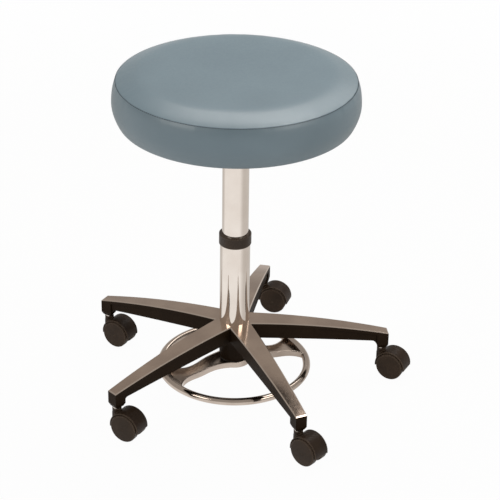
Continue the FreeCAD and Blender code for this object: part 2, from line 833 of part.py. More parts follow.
def cut_arch(body, name, drop, far):
    """Cut away what lies between the bar's arched top line, lowered by drop, and the level far."""
    span = "(bar_landing - bar_crest)"
    radius = f"(({span} ^ 2 / 4 + bar_fall ^ 2 / 4) / bar_fall)"
    sag = f"({radius} - sqrt({radius} ^ 2 - {span} ^ 2 / 16))"
    crest = f"{bar_top} - {drop}"
    foot = f"{bar_end_top} - {drop}"
    reach = "ring_circle / 2 + ring_rod"
    arch = new_sketch(body, name, "XZ_Plane")
    draw(
        arch,
        ("0", far),
        ("0", crest),
        ("bar_crest", crest),
        ((f"bar_crest + {span} / 4", f"{crest} - {sag}"), (f"bar_crest + {span} / 2", f"{crest} - bar_fall / 2")),
        ((f"bar_landing - {span} / 4", f"{foot} + {sag}"), ("bar_landing", foot)),
        (reach, foot),
        (reach, far),
    )
    repeat(body, [extrude(body, "Pocket", arch, "ring_circle", symmetric=True)], "2")


def foot_ring():
    """Cast ring with an arched, troughed cross bar and a cup for the barrel: its rim tilts it all."""
    ring = new_piece("foot_ring")
    cup = "(barrel_foot_diameter + 2 * cup_gap)"
    bar = new_sketch(ring, "bar", "XY_Plane", bar_low)
    bow_tie(bar, "0", ("ring_circle / 2", "0"))
    extrude(ring, "Pad", bar, f"{bar_high} - {bar_low}")
    cup_wall = new_sketch(ring, "cup_wall", "XY_Plane", bar_low)
    draw_circle(cup_wall, "0", "0", f"{cup} + 2 * cup_wall")
    ring.Tip = extrude(ring, "Pad", cup_wall, f"{bar_high} - {bar_low}")

    def in_corner(edge):
        middle = edge.CenterOfMass
        upright = edge.BoundBox.ZLength > value("bar_depth")
        return upright and abs(math.hypot(middle.x, middle.y) - value(f"{cup} / 2 + cup_wall")) < value("close_fit")

    soften(ring, "Fillet", in_corner, "cup_blend")
    cut_arch(ring, "over", "0", bar_high)
    lowest_top = value(f"{bar_end_top} - close_fit")

    def on_rim(edge):
        return edge.BoundBox.ZMin > lowest_top and edge.BoundBox.XLength > value("close_fit")

    soften(ring, "Fillet", on_rim, "bar_round")
    cut_arch(ring, "under", "bar_depth", bar_low)
    hollow = doc.addObject("PartDesign::Body", "trough")
    trough = new_sketch(hollow, "plan", "XY_Plane", bar_low)
    bow_tie(trough, "bar_rim", ("ring_circle / 2 - ring_rod / 2 - bar_round", "0"))
    extrude(hollow, "Pad", trough, f"{bar_high} - {bar_low}")
    cut_arch(hollow, "floor", "trough_depth", bar_low)
    carve = ring.newObject("PartDesign::Boolean", "trough_cut")
    carve.Type = "Cut"
    carve.setObjects([hollow])
    ring.Tip = carve
    cup_bore = new_sketch(ring, "cup_bore", "XY_Plane", f"{bar_top}")
    draw_circle(cup_bore, "0", "0", cup)
    ring.Tip = extrude(ring, "Pocket", cup_bore, "trough_depth")
    rod = new_sketch(ring, "rod", "XZ_Plane")
    draw_circle(rod, "ring_circle / 2", "barrel_foot - ring_drop", "ring_rod")
    ring.Tip = revolve(ring, "Revolution", rod)
    hub_disc = new_sketch(ring, "hub", "XY_Plane", ring_hub_foot)
    draw_circle(hub_disc, "0", "0", "ring_hub_diameter")
    ring.Tip = extrude(ring, "Pad", hub_disc, "ring_hub_height")
    drill = new_sketch(ring, "drill", "XZ_Plane")
    sink = "rocker_screw_head_diameter / 2 + close_fit"
    hole = "rocker_screw_diameter / 2 + close_fit"
    draw(
        drill,
        ("0", ring_hub_foot),
        (sink, ring_hub_foot),
        (sink, f"{ring_hub_foot} + rocker_screw_head_height"),
        (hole, f"{ring_hub_foot} + rocker_screw_head_height"),
        (hole, ring_hub_top),
        ("0", ring_hub_top),
    )
    ring.Tip = revolve(ring, "Groove", drill)
    place(ring, turn="ring_angle")
    return ring


def ring_rocker():
    """Flanged stud on the ring's hub: its flange rocks on the retainer and its dome lifts the pin."""
    neck = "rocker_neck_diameter / 2"
    flange = "rocker_flange_diameter / 2"
    dome = "rocker_dome_diameter / 2"
    tap = "(rocker_screw_diameter / 2 + close_fit)"
    tap_top = f"({ring_hub_top} + rocker_screw_depth - rocker_screw_head_height)"
    turned(
        "rocker_stud",
        (tap, ring_hub_top),
        (neck, ring_hub_top),
        (neck, "barrel_foot"),
        (flange, "barrel_foot"),
        (flange, flange_top),
        (dome, flange_top),
        (dome, f"{dome_top} - rocker_dome_rise"),
        (dome_middle(dome, "rocker_dome_rise", dome_top), ("0", dome_top)),
        ("0", tap_top),
        (tap, tap_top),
    )
    head = "rocker_screw_head_diameter / 2"
    shank = "rocker_screw_diameter / 2"
    turned(
        "rocker_screw",
        ("0", ring_hub_foot),
        (head, ring_hub_foot),
        (head, f"{ring_hub_foot} + rocker_screw_head_height"),
        (shank, f"{ring_hub_foot} + rocker_screw_head_height"),
        (shank, tap_top),
        ("0", tap_top),
    )


def ring_retainer():
    """Plate under the barrel that traps the rocker's flange, and its screws."""
    rim = "barrel_foot_diameter / 2"
    plate = tube("ring_retainer", rim, "retainer_bore / 2", retainer_foot, "barrel_foot")
    hole = new_sketch(plate, "screw_hole", "XY_Plane", retainer_foot)
    draw_circle(hole, f"{screw_circle} / 2", "0", "retainer_screw_diameter + 2 * close_fit")
    drilled = extrude(plate, "Pocket", hole, "retainer_thickness", reverse=True)
    repeat(plate, [drilled], "retainer_screw_count")
    place(plate, turn="first_leg_angle")
    shank = "retainer_screw_diameter / 2"
    head = "screw_head_diameter / 2"
    turned_set("retainer_screws", screw_circle, "retainer_screw_count", (
        ("0", f"{retainer_foot} - screw_head_height"),
        (head, f"{retainer_foot} - screw_head_height"),
        (head, retainer_foot),
        (shank, retainer_foot),
        (shank, f"{retainer_foot} + retainer_screw_length"),
        ("0", f"{retainer_foot} + retainer_screw_length"),
    ), turn="first_leg_angle")


def caster_stems():
    """Steel stems in the leg posts: a grip above the flange and a journal below it."""
    flange_foot = "(post_foot - stem_flange_thickness)"
    turned_set("caster_stems", f"2 * {caster_radius}", "leg_count", (
        ("0", f"{flange_foot} - stem_journal_length"),
        ("stem_journal_diameter / 2", f"{flange_foot} - stem_journal_length"),
        ("stem_journal_diameter / 2", flange_foot),
        ("stem_flange_diameter / 2", flange_foot),
        ("stem_flange_diameter / 2", "post_foot"),
        ("stem_diameter / 2", "post_foot"),
        ("stem_diameter / 2", "post_foot + stem_length"),
        ("0", "post_foot + stem_length"),
    ), turn="first_leg_angle")


def on_hood(radius, angle):
    """A point of the hood's round side, about the axle, in the caster's own upright plane."""
    return (f"caster_trail + ({radius}) * cos({angle})", f"wheel_diameter / 2 + ({radius}) * sin({angle})")


def caster_hood(number, angle, turn):
    """Hood over both wheels, with a middle web for the axle and a boss that turns on the stem."""
    hood = new_piece(f"caster_{number}_hood")
    outer = hood_radius
    middle = f"{hood_radius} - hood_wall / 2"
    inner = f"{hood_radius} - hood_wall"
    flat = value("close_fit")
    web = new_sketch(hood, "web", "XZ_Plane")
    web_foot = "wheel_diameter / 2 - web_drop"
    draw(
        web,
        ("-boss_diameter / 2", web_foot),
        ("caster_trail + web_drop", web_foot),
        on_hood(middle, "0"),
        (on_hood(middle, "45"), on_hood(middle, "90")),
        ("boss_diameter / 2", f"{boss_foot} + web_lap"),
        ("-boss_diameter / 2", f"{boss_foot} + web_lap"),
    )
    extrude(hood, "Pad", web, "web_thickness", symmetric=True)
    nose = value("-boss_diameter / 2 + close_fit")

    def nose_corner(edge):
        return edge.BoundBox.XMax < nose and edge.BoundBox.YLength < flat

    soften(hood, "Fillet", nose_corner, "web_round")
    shell = new_sketch(hood, "shell", "XZ_Plane")
    tail_middle = "(hood_tail_angle + 90) / 2"
    nose_middle = "(hood_nose_angle + 90) / 2"
    draw(
        shell,
        on_hood(outer, "hood_tail_angle"),
        (on_hood(outer, tail_middle), on_hood(outer, "90")),
        (on_hood(outer, nose_middle), on_hood(outer, "hood_nose_angle")),
        on_hood(inner, "hood_nose_angle"),
        (on_hood(inner, nose_middle), on_hood(inner, "90")),
        (on_hood(inner, tail_middle), on_hood(inner, "hood_tail_angle")),
    )
    extrude(hood, "Pad", shell, "hood_width", symmetric=True)
    shell_middle = value(middle)
    shell_side = value("hood_width / 2 - close_fit")

    def outer_rim(edge):
        wide = abs(edge.CenterOfMass.y) > shell_side
        return wide and edge.BoundBox.YLength < flat and getattr(edge.Curve, "Radius", 0) > shell_middle

    soften(hood, "Fillet", outer_rim, "hood_round")
    boss = new_sketch(hood, "boss", "XY_Plane", boss_foot)
    draw_circle(boss, "0", "0", "boss_diameter")
    extrude(hood, "Pad", boss, "boss_length")
    journal = new_sketch(hood, "journal", "XY_Plane", boss_top)
    draw_circle(journal, "0", "0", "stem_journal_diameter + 2 * running_fit")
    extrude(hood, "Pocket", journal, "stem_journal_length - boss_gap + soft_gap")
    axle = new_sketch(hood, "axle", "XZ_Plane")
    draw_circle(axle, "caster_trail", "wheel_diameter / 2", "axle_diameter + 2 * close_fit")
    extrude(hood, "Pocket", axle, "hood_width", symmetric=True)
    place(hood, f"{caster_radius} * cos({angle})", f"{caster_radius} * sin({angle})", "0", turn)


def at_axle(body, angle, turn):
    place(
        body,
        f"{caster_radius} * cos({angle}) + caster_trail * cos({turn})",
        f"{caster_radius} * sin({angle}) + caster_trail * sin({turn})",
        "wheel_diameter / 2",
        turn,
    )


def caster_axle(number, angle, turn):
    axle = new_piece(f"caster_{number}_axle")
    sketch = new_sketch(axle, "round", "XZ_Plane")
    draw_circle(sketch, "0", "0", "axle_diameter")
    extrude(axle, "Pad", sketch, f"2 * {axle_end}", symmetric=True)
    at_axle(axle, angle, turn)


def caster_wheel(number, angle, turn, side, sign):
    """Moulded wheel: crowned outer face, hollow behind, with a hub on the axle."""
    wheel = new_piece(f"caster_{number}_{side}_wheel")
    sketch = new_sketch(wheel, "profile", "XY_Plane")
    bore = "axle_diameter / 2 + running_fit"
    hub = "wheel_hub_diameter / 2"
    rim = "wheel_diameter / 2"
    back = "(web_thickness / 2 + wheel_gap)"
    crown = f"({wheel_face} + wheel_face_crown)"
    quarter = "wheel_edge * (1 - cos(45))"
    steps = (
        (bore, back),
        (hub, back),
        (hub, axle_end),
        (f"{rim} - wheel_rim", axle_end),
        (f"{rim} - wheel_rim", back),
        (f"{rim} - wheel_back_edge", back),
        (rim, f"{back} + wheel_back_edge"),
        (rim, f"{wheel_face} - wheel_edge"),
        ((f"{rim} - {quarter}", f"{wheel_face} - {quarter}"), (f"{rim} - wheel_edge", wheel_face)),
        (dome_middle(f"{rim} - wheel_edge", "wheel_face_crown", crown), ("0", crown)),
        ("0", f"{axle_end} + soft_gap"),
        (bore, f"{axle_end} + soft_gap"),
    )

    def sided(point):
        return (point[0], f"{sign} * ({point[1]})")

    draw(sketch, *[
        (sided(step[0]), sided(step[1])) if isinstance(step[0], tuple) else sided(step) for step in steps
    ])
    revolve(wheel, "Revolution", sketch)
    at_axle(wheel, angle, turn)


def casters():
    caster_stems()
    for number, (angle, turn) in enumerate(zip(leg_angles, caster_angles), 1):
        caster_hood(number, angle, turn)
        caster_axle(number, angle, turn)
        caster_wheel(number, angle, turn, "left", "1")
        caster_wheel(number, angle, turn, "right", "-1")


def check_and_export():
    doc.recompute()
    for thing in doc.Objects:
        if "Invalid" in thing.State or "Error" in thing.State:
            raise RuntimeError(f"{thing.Label} failed: {thing.State}")
    for piece in pieces:
        if piece.Shape.isNull() or not piece.Shape.isValid():
            raise RuntimeError(f"{piece.Label} has no valid shape")
    os.makedirs("parts", exist_ok=True)
    for piece in pieces:
        piece.Shape.exportStep(f"parts/{piece.Label}.step")
        print(piece.Label, len(piece.Shape.Solids), round(piece.Shape.Volume))


seat_cushion()
seat_board()
dust_cover()
seat_plate()
seat_fasteners()
seat_socket()
column_tubes()
column_collar()
slide_bush()
gas_spring()
star_base()
foot_ring()
ring_rocker()
ring_retainer()
casters()
check_and_export()
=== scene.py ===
# Foot-operated stool: the looks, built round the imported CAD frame
import json
import bpy
import numpy as np
from mathutils import Matrix, Vector


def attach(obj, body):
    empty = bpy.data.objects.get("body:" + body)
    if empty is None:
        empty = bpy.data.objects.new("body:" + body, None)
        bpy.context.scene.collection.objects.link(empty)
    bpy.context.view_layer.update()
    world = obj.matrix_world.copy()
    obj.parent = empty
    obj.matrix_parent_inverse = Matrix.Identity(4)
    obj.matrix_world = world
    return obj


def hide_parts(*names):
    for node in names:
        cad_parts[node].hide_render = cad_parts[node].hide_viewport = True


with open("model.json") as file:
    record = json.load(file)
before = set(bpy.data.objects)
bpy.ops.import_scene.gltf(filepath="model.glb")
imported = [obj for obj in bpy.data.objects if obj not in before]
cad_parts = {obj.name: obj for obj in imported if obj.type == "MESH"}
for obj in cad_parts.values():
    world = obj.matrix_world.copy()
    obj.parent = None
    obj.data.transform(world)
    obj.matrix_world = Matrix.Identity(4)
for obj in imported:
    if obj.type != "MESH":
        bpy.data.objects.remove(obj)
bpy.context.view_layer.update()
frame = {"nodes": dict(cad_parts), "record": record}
nodes = frame["nodes"]
scene = bpy.context.scene
scene.view_settings.view_transform = "Standard"


# colours are written as a screen shows them, 0 to 255, and become linear here
def shade(red, green, blue):
    c = np.array([red, green, blue]) / 255
    linear = np.where(c <= 0.04045, c / 12.92, ((c + 0.055) / 1.055) ** 2.4)
    return (*linear.tolist(), 1.0)


# node helpers
def addNode(tree, kind, **settings):
    made = tree.nodes.new(kind)
    for key, value in settings.items():
        setattr(made, key, value)
    return made


def feed(tree, socket, source):
    # a source is another node's output, or a plain value
    if isinstance(source, bpy.types.NodeSocket):
        tree.links.new(source, socket)
    else:
        socket.default_value = source


def mathNode(tree, operation, first, second=0.0):
    made = addNode(tree, "ShaderNodeMath", operation=operation)
    feed(tree, made.inputs[0], first)
    feed(tree, made.inputs[1], second)
    return made.outputs[0]


def mixColour(tree, factor, first, second):
    made = addNode(tree, "ShaderNodeMix", data_type="RGBA")
    feed(tree, made.inputs[0], factor)
    feed(tree, made.inputs[6], first)
    feed(tree, made.inputs[7], second)
    return made.outputs[2]


def spread(tree, source, low, high, toLow, toHigh):
    made = addNode(tree, "ShaderNodeMapRange", interpolation_type="SMOOTHSTEP")
    feed(tree, made.inputs["Value"], source)
    for socket, value in zip(made.inputs[1:5], (low, high, toLow, toHigh)):
        feed(tree, socket, value)
    return made.outputs[0]


def newGroup(name, inputs, outputs):
    tree = bpy.data.node_groups.new(name, "ShaderNodeTree")
    for title, kind in inputs:
        tree.interface.new_socket(title, in_out="INPUT", socket_type=kind)
    for title in outputs:
        tree.interface.new_socket(title, in_out="OUTPUT", socket_type="NodeSocketFloat")
    return tree, addNode(tree, "NodeGroupInput").outputs, addNode(tree, "NodeGroupOutput").inputs


def useGroup(tree, group, **values):
    made = addNode(tree, "ShaderNodeGroup", node_tree=group)
    for title, source in values.items():
        feed(tree, made.inputs[title], source)
    return made.outputs


# soft cloudy patches, and a finer grain on top of them
mottleMake = {"cloudDetail": 3, "grainDetail": 2, "grainFiner": 30, "patchRange": (0.3, 0.7)}


def makeMottle(m):
    tree, given, out = newGroup(
        "mottle", [("Vector", "NodeSocketVector"), ("Scale", "NodeSocketFloat")], ["Patches", "Grain"])
    clouds = addNode(tree, "ShaderNodeTexNoise")
    clouds.inputs["Detail"].default_value = m["cloudDetail"]
    feed(tree, clouds.inputs["Vector"], given["Vector"])
    feed(tree, clouds.inputs["Scale"], given["Scale"])
    grain = addNode(tree, "ShaderNodeTexNoise")
    grain.inputs["Detail"].default_value = m["grainDetail"]
    feed(tree, grain.inputs["Vector"], given["Vector"])
    feed(tree, grain.inputs["Scale"], mathNode(tree, "MULTIPLY", given["Scale"], m["grainFiner"]))
    feed(tree, out["Patches"], spread(tree, clouds.outputs["Fac"], *m["patchRange"], 0, 1))
    feed(tree, out["Grain"], grain.outputs["Fac"])
    return tree


# fine lines left by drawing or polishing: noise pulled out along one way
polishMake = {"detail": 3, "lineRange": (0.25, 0.75)}


def makePolishLines(m):
    tree, given, out = newGroup(
        "polishLines",
        [("Vector", "NodeSocketVector"), ("Stretch", "NodeSocketVector"), ("Scale", "NodeSocketFloat")],
        ["Lines"])
    pulled = addNode(tree, "ShaderNodeMapping")
    feed(tree, pulled.inputs["Vector"], given["Vector"])
    feed(tree, pulled.inputs["Scale"], given["Stretch"])
    lines = addNode(tree, "ShaderNodeTexNoise")
    lines.inputs["Detail"].default_value = m["detail"]
    feed(tree, lines.inputs["Vector"], pulled.outputs[0])
    feed(tree, lines.inputs["Scale"], given["Scale"])
    feed(tree, out["Lines"], spread(tree, lines.outputs["Fac"], *m["lineRange"], 0, 1))
    return tree


# pebbled skin of coated cloth and moulded plastic: small rounded cells
pebbleMake = {"cellRange": (0.0, 0.9)}


def makePebble(m):
    tree, given, out = newGroup(
        "pebble", [("Vector", "NodeSocketVector"), ("Scale", "NodeSocketFloat")], ["Height"])
    cells = addNode(tree, "ShaderNodeTexVoronoi", feature="SMOOTH_F1")
    feed(tree, cells.inputs["Vector"], given["Vector"])
    feed(tree, cells.inputs["Scale"], given["Scale"])
    feed(tree, out["Height"], spread(tree, cells.outputs["Distance"], *m["cellRange"], 1, 0))
    return tree


# paler edges, partly rubbed wear and partly a painted highlight: where the normals nearby, within the radius,
# differ from the face's own
wearAndHighlightMake = {"samples": 6, "alikeRange": (0.90, 0.995)}


def makeEdgeWear(m):
    tree, given, out = newGroup("edgeWear", [("Radius", "NodeSocketFloat")], ["Wear"])
    around = addNode(tree, "ShaderNodeBevel", samples=m["samples"])
    feed(tree, around.inputs["Radius"], given["Radius"])
    alike = addNode(tree, "ShaderNodeVectorMath", operation="DOT_PRODUCT")
    tree.links.new(around.outputs[0], alike.inputs[0])
    tree.links.new(addNode(tree, "ShaderNodeNewGeometry").outputs["True Normal"], alike.inputs[1])
    feed(tree, out["Wear"], spread(tree, alike.outputs["Value"], *m["alikeRange"], 1, 0))
    return tree


mottle = makeMottle(mottleMake)
polishLines = makePolishLines(polishMake)
pebble = makePebble(pebbleMake)
edgeWear = makeEdgeWear(wearAndHighlightMake)
# how much of the grain's range changes a roughness
grainRange = (0.2, 0.8)


def newMaterial(name, **plain):
    # a Principled shader; plain settings go straight on its sockets
    made = bpy.data.materials.new(name)
    made.use_nodes = True
    tree = made.node_tree
    tree.nodes.clear()
    shader = addNode(tree, "ShaderNodeBsdfPrincipled")
    out = addNode(tree, "ShaderNodeOutputMaterial")
    tree.links.new(shader.outputs[0], out.inputs[0])
    for title, value in plain.items():
        shader.inputs[title.replace("_", " ")].default_value = value
    place = addNode(tree, "ShaderNodeTexCoord").outputs["Object"]
    return made, tree, shader, place


def addBump(tree, shader, height, strength, distance):
    bump = addNode(tree, "ShaderNodeBump")
    bump.inputs["Strength"].default_value = strength
    bump.inputs["Distance"].default_value = distance
    feed(tree, bump.inputs["Height"], height)
    feed(tree, shader.inputs["Normal"], bump.outputs[0])


# coated cloth of the seat
vinylFinish = {
    "colour": shade(114, 134, 145), "deep": shade(109, 129, 140), "rough": (0.34, 0.44),
    "shine": 0.9, "patchScale": 9, "pebbleScale": 900, "bump": 0.10, "bumpDepth": 0.0004,
}


def vinylMaterial(f):
    made, tree, shader, place = newMaterial("seatVinyl", Specular_IOR_Level=f["shine"])
    patches = useGroup(tree, mottle, Vector=place, Scale=f["patchScale"])
    skin = useGroup(tree, pebble, Vector=place, Scale=f["pebbleScale"])
    feed(tree, shader.inputs["Base Color"], mixColour(tree, patches["Patches"], f["deep"], f["colour"]))
    feed(tree, shader.inputs["Roughness"], spread(tree, patches["Grain"], *grainRange, *f["rough"]))
    addBump(tree, shader, skin["Height"], f["bump"], f["bumpDepth"])
    return made


# spun thread of the seam
threadFinish = {"colour": shade(56, 67, 75), "pale": shade(80, 92, 100), "rough": 0.75,
                "stretch": (1, 1, 0.4), "scale": 2600, "bump": 0.4, "bumpDepth": 0.0002}


def threadMaterial(f):
    made, tree, shader, place = newMaterial("seamThread", Roughness=f["rough"])
    twist = useGroup(tree, polishLines, Vector=place, Stretch=f["stretch"], Scale=f["scale"])
    feed(tree, shader.inputs["Base Color"], mixColour(tree, twist["Lines"], f["colour"], f["pale"]))
    addBump(tree, shader, twist["Lines"], f["bump"], f["bumpDepth"])
    return made


# bright plated steel: tubes, rod and ring; the ring's bar, within a radius, is duller
smearRange = (0.0, 0.7)
waveDepth = 0.0006
chromeFinishes = {
    "tube_chrome": {"colour": shade(236, 227, 218), "film": shade(226, 215, 205), "rough": (0.05, 0.12),
                    "stretch": (1, 1, 0.03), "lineScale": 420, "patchScale": 14, "waveScale": 70,
                    "wave": 0.12},
    "ring_chrome": {"colour": shade(202, 188, 176), "film": shade(186, 171, 159), "rough": (0.10, 0.18),
                    "stretch": (1, 1, 1), "lineScale": 300, "patchScale": 20, "waveScale": 40, "wave": 0.015,
                    "dull": 0.26, "dullWithin": (0.106, 0.119)},
    "rod_steel": {"colour": shade(224, 222, 218), "film": shade(206, 203, 198), "rough": (0.08, 0.18),
                  "stretch": (1, 1, 0.03), "lineScale": 500, "patchScale": 30, "waveScale": 70, "wave": 0.03},
}


def chromeMaterial(name, f):
    made, tree, shader, place = newMaterial(name, Metallic=1.0)
    lines = useGroup(tree, polishLines, Vector=place, Stretch=f["stretch"], Scale=f["lineScale"])
    patches = useGroup(tree, mottle, Vector=place, Scale=f["patchScale"])
    feed(tree, shader.inputs["Base Color"], mixColour(tree, patches["Patches"], f["colour"], f["film"]))
    smear = mathNode(tree, "MULTIPLY", lines["Lines"], patches["Patches"])
    polish = spread(tree, smear, *smearRange, *f["rough"])
    if "dull" in f:
        flat = addNode(tree, "ShaderNodeVectorMath", operation="MULTIPLY")
        flat.inputs[1].default_value = (1, 1, 0)
        tree.links.new(place, flat.inputs[0])
        reach = addNode(tree, "ShaderNodeVectorMath", operation="LENGTH")
        tree.links.new(flat.outputs[0], reach.inputs[0])
        added = spread(tree, reach.outputs["Value"], *f["dullWithin"], f["dull"], 0)
        polish = mathNode(tree, "ADD", polish, added)
    feed(tree, shader.inputs["Roughness"], polish)
    waves = useGroup(tree, polishLines, Vector=place, Stretch=f["stretch"], Scale=f["waveScale"])
    addBump(tree, shader, waves["Lines"], f["wave"], waveDepth)
    return made


# cast base: polished tops and bevels, black sides and undersides, told apart by how far a face looks up; the
# bevels' paler colour is partly polish and partly a painted highlight
baseFinish = {
    "top": shade(196, 176, 160), "topDeep": shade(178, 159, 145), "edge": shade(206, 191, 178),
    "side": shade(44, 32, 21), "sideDeep": shade(38, 27, 17), "topRough": (0.11, 0.15), "sideRough": 0.5,
    "topStarts": (0.45, 0.60), "edgeEnds": (0.82, 0.92), "lineScale": 160, "patchScale": 16,
    "pebbleScale": 1500, "bump": 0.08, "bumpDepth": 0.0004, "shine": 0.06,
}


def baseMaterial(f):
    made, tree, shader, place = newMaterial("castBase", Specular_IOR_Level=f["shine"])
    facing = addNode(tree, "ShaderNodeSeparateXYZ")
    tree.links.new(addNode(tree, "ShaderNodeNewGeometry").outputs["True Normal"], facing.inputs[0])
    isTop = spread(tree, facing.outputs["Z"], *f["topStarts"], 0, 1)
    isFlat = spread(tree, facing.outputs["Z"], *f["edgeEnds"], 0, 1)
    lines = useGroup(tree, polishLines, Vector=place, Stretch=(1, 1, 1), Scale=f["lineScale"])
    patches = useGroup(tree, mottle, Vector=place, Scale=f["patchScale"])
    skin = useGroup(tree, pebble, Vector=place, Scale=f["pebbleScale"])
    polished = mixColour(tree, patches["Patches"], f["topDeep"], f["top"])
    # bevels take a paler colour than the flat tops: partly polish, partly a painted highlight along the leg
    # edges
    topWithBevelHighlight = mixColour(tree, isFlat, f["edge"], polished)
    black = mixColour(tree, patches["Patches"], f["sideDeep"], f["side"])
    feed(tree, shader.inputs["Base Color"], mixColour(tree, isTop, black, topWithBevelHighlight))
    feed(tree, shader.inputs["Metallic"], isTop)
    topRough = spread(tree, lines["Lines"], 0.0, 1.0, *f["topRough"])
    offTop = mathNode(tree, "SUBTRACT", 1.0, isTop)
    rough = mathNode(tree, "ADD", mathNode(tree, "MULTIPLY", isTop, topRough),
                     mathNode(tree, "MULTIPLY", offTop, f["sideRough"]))
    feed(tree, shader.inputs["Roughness"], rough)
    addBump(tree, shader, mathNode(tree, "MULTIPLY", skin["Height"], offTop), f["bump"], f["bumpDepth"])
    return made


# moulded plastics, paler at their edges: partly rubbed wear, partly a painted highlight
paleEdgeRange = (0.3, 0.6)
paleEdgeLeast = 0.45
skinDepth = 0.0003
plasticFinishes = {
    "collar_nylon": {"colour": shade(68, 54, 43), "deep": shade(58, 46, 36), "rough": (0.30, 0.42),
                     "pebbleScale": 1800, "bump": 0.06, "patchScale": 30, "shine": 0.25,
                     "wornAndHighlight": shade(112, 96, 82), "paleEdgeReach": 0.003},
    "hood_nylon": {"colour": shade(53, 40, 30), "deep": shade(46, 34, 25), "rough": (0.36, 0.48),
                   "pebbleScale": 1300, "bump": 0.16, "patchScale": 40, "shine": 0.14,
                   "wornAndHighlight": shade(106, 90, 76), "paleEdgeReach": 0.003},
    "wheel_nylon": {"colour": shade(65, 51, 40), "deep": shade(55, 43, 33), "rough": (0.38, 0.50),
                    "pebbleScale": 1300, "bump": 0.2, "patchScale": 40, "shine": 0.16,
                    "wornAndHighlight": shade(126, 110, 96), "paleEdgeReach": 0.004},
    "guide_nylon": {"colour": shade(226, 221, 208), "deep": shade(214, 208, 194), "rough": (0.4, 0.55),
                    "pebbleScale": 1800, "bump": 0.05, "patchScale": 60, "shine": 0.5,
                    "wornAndHighlight": shade(232, 228, 216), "paleEdgeReach": 0.0006},
}


def plasticMaterial(name, f):
    made, tree, shader, place = newMaterial(name, Specular_IOR_Level=f["shine"])
    patches = useGroup(tree, mottle, Vector=place, Scale=f["patchScale"])
    skin = useGroup(tree, pebble, Vector=place, Scale=f["pebbleScale"])
    wearAndHighlight = useGroup(tree, edgeWear, Radius=f["paleEdgeReach"])
    rubbedAndHighlit = mathNode(tree, "MULTIPLY", wearAndHighlight["Wear"], spread(tree, patches["Grain"], *paleEdgeRange, paleEdgeLeast, 1))
    moulded = mixColour(tree, patches["Patches"], f["deep"], f["colour"])
    # edges take the paler colour: rubbed wear together with a painted highlight along the rims
    feed(tree, shader.inputs["Base Color"], mixColour(tree, rubbedAndHighlit, moulded, f["wornAndHighlight"]))
    feed(tree, shader.inputs["Roughness"], spread(tree, patches["Grain"], *grainRange, *f["rough"]))
    addBump(tree, shader, skin["Height"], f["bump"], skinDepth)
    return made


# plain steel fasteners and black-painted steel, all with the same fine lines
steelLines = {"stretch": (1, 1, 0.2), "bump": 0.05, "bumpDepth": 0.0002}
steelFinishes = {
    "fastener_steel": {"colour": shade(186, 184, 180), "deep": shade(160, 158, 154), "metal": 1.0,
                       "rough": (0.25, 0.42), "scale": 700},
    "stem_steel": {"colour": shade(206, 198, 190), "deep": shade(182, 172, 162), "metal": 1.0,
                   "rough": (0.15, 0.3), "scale": 700},
    "axle_steel": {"colour": shade(186, 184, 180), "deep": shade(160, 158, 154), "metal": 1.0,
                   "rough": (0.2, 0.35), "scale": 700},
    "plate_steel": {"colour": shade(40, 39, 38), "deep": shade(32, 31, 30), "metal": 0.0,
                    "rough": (0.4, 0.6), "scale": 420},
    "retainer_steel": {"colour": shade(44, 38, 33), "deep": shade(34, 29, 25), "metal": 0.0,
                       "rough": (0.35, 0.5), "scale": 420},
    "cylinder_steel": {"colour": shade(34, 34, 35), "deep": shade(26, 26, 27), "metal": 0.0,
                       "rough": (0.3, 0.45), "scale": 420},
}


def steelMaterial(name, f):
    made, tree, shader, place = newMaterial(name, Metallic=f["metal"])
    lines = useGroup(tree, polishLines, Vector=place, Stretch=steelLines["stretch"], Scale=f["scale"])
    feed(tree, shader.inputs["Base Color"], mixColour(tree, lines["Lines"], f["deep"], f["colour"]))
    feed(tree, shader.inputs["Roughness"], spread(tree, lines["Lines"], 0.0, 1.0, *f["rough"]))
    addBump(tree, shader, lines["Lines"], steelLines["bump"], steelLines["bumpDepth"])
    return made


# plywood board: stretched rings of grain
boardFinish = {"pale": shade(202, 172, 130), "dark": shade(160, 122, 80), "rough": 0.65,
               "stretch": (0.06, 1, 1), "scale": 60, "bump": 0.15, "bumpDepth": 0.0004}


def boardMaterial(f):
    made, tree, shader, place = newMaterial("boardPly", Roughness=f["rough"])
    grain = useGroup(tree, polishLines, Vector=place, Stretch=f["stretch"], Scale=f["scale"])
    feed(tree, shader.inputs["Base Color"], mixColour(tree, grain["Lines"], f["dark"], f["pale"]))
    addBump(tree, shader, grain["Lines"], f["bump"], f["bumpDepth"])
    return made


# black cloth under the board: crossed threads
clothFinish = {"colour": shade(30, 30, 31), "pale": shade(52, 52, 53), "rough": 0.9, "waveScale": 900 / 6.28,
               "waver": 0.6, "bump": 0.3, "bumpDepth": 0.0003}


def clothMaterial(f):
    made, tree, shader, place = newMaterial("underCloth", Roughness=f["rough"])
    waves = []
    for way in ("X", "Y"):
        wave = addNode(tree, "ShaderNodeTexWave", bands_direction=way)
        wave.inputs["Scale"].default_value = f["waveScale"]
        wave.inputs["Distortion"].default_value = f["waver"]
        feed(tree, wave.inputs["Vector"], place)
        waves.append(wave.outputs["Fac"])
    weave = mathNode(tree, "MULTIPLY", *waves)
    feed(tree, shader.inputs["Base Color"], mixColour(tree, weave, f["colour"], f["pale"]))
    addBump(tree, shader, weave, f["bump"], f["bumpDepth"])
    return made


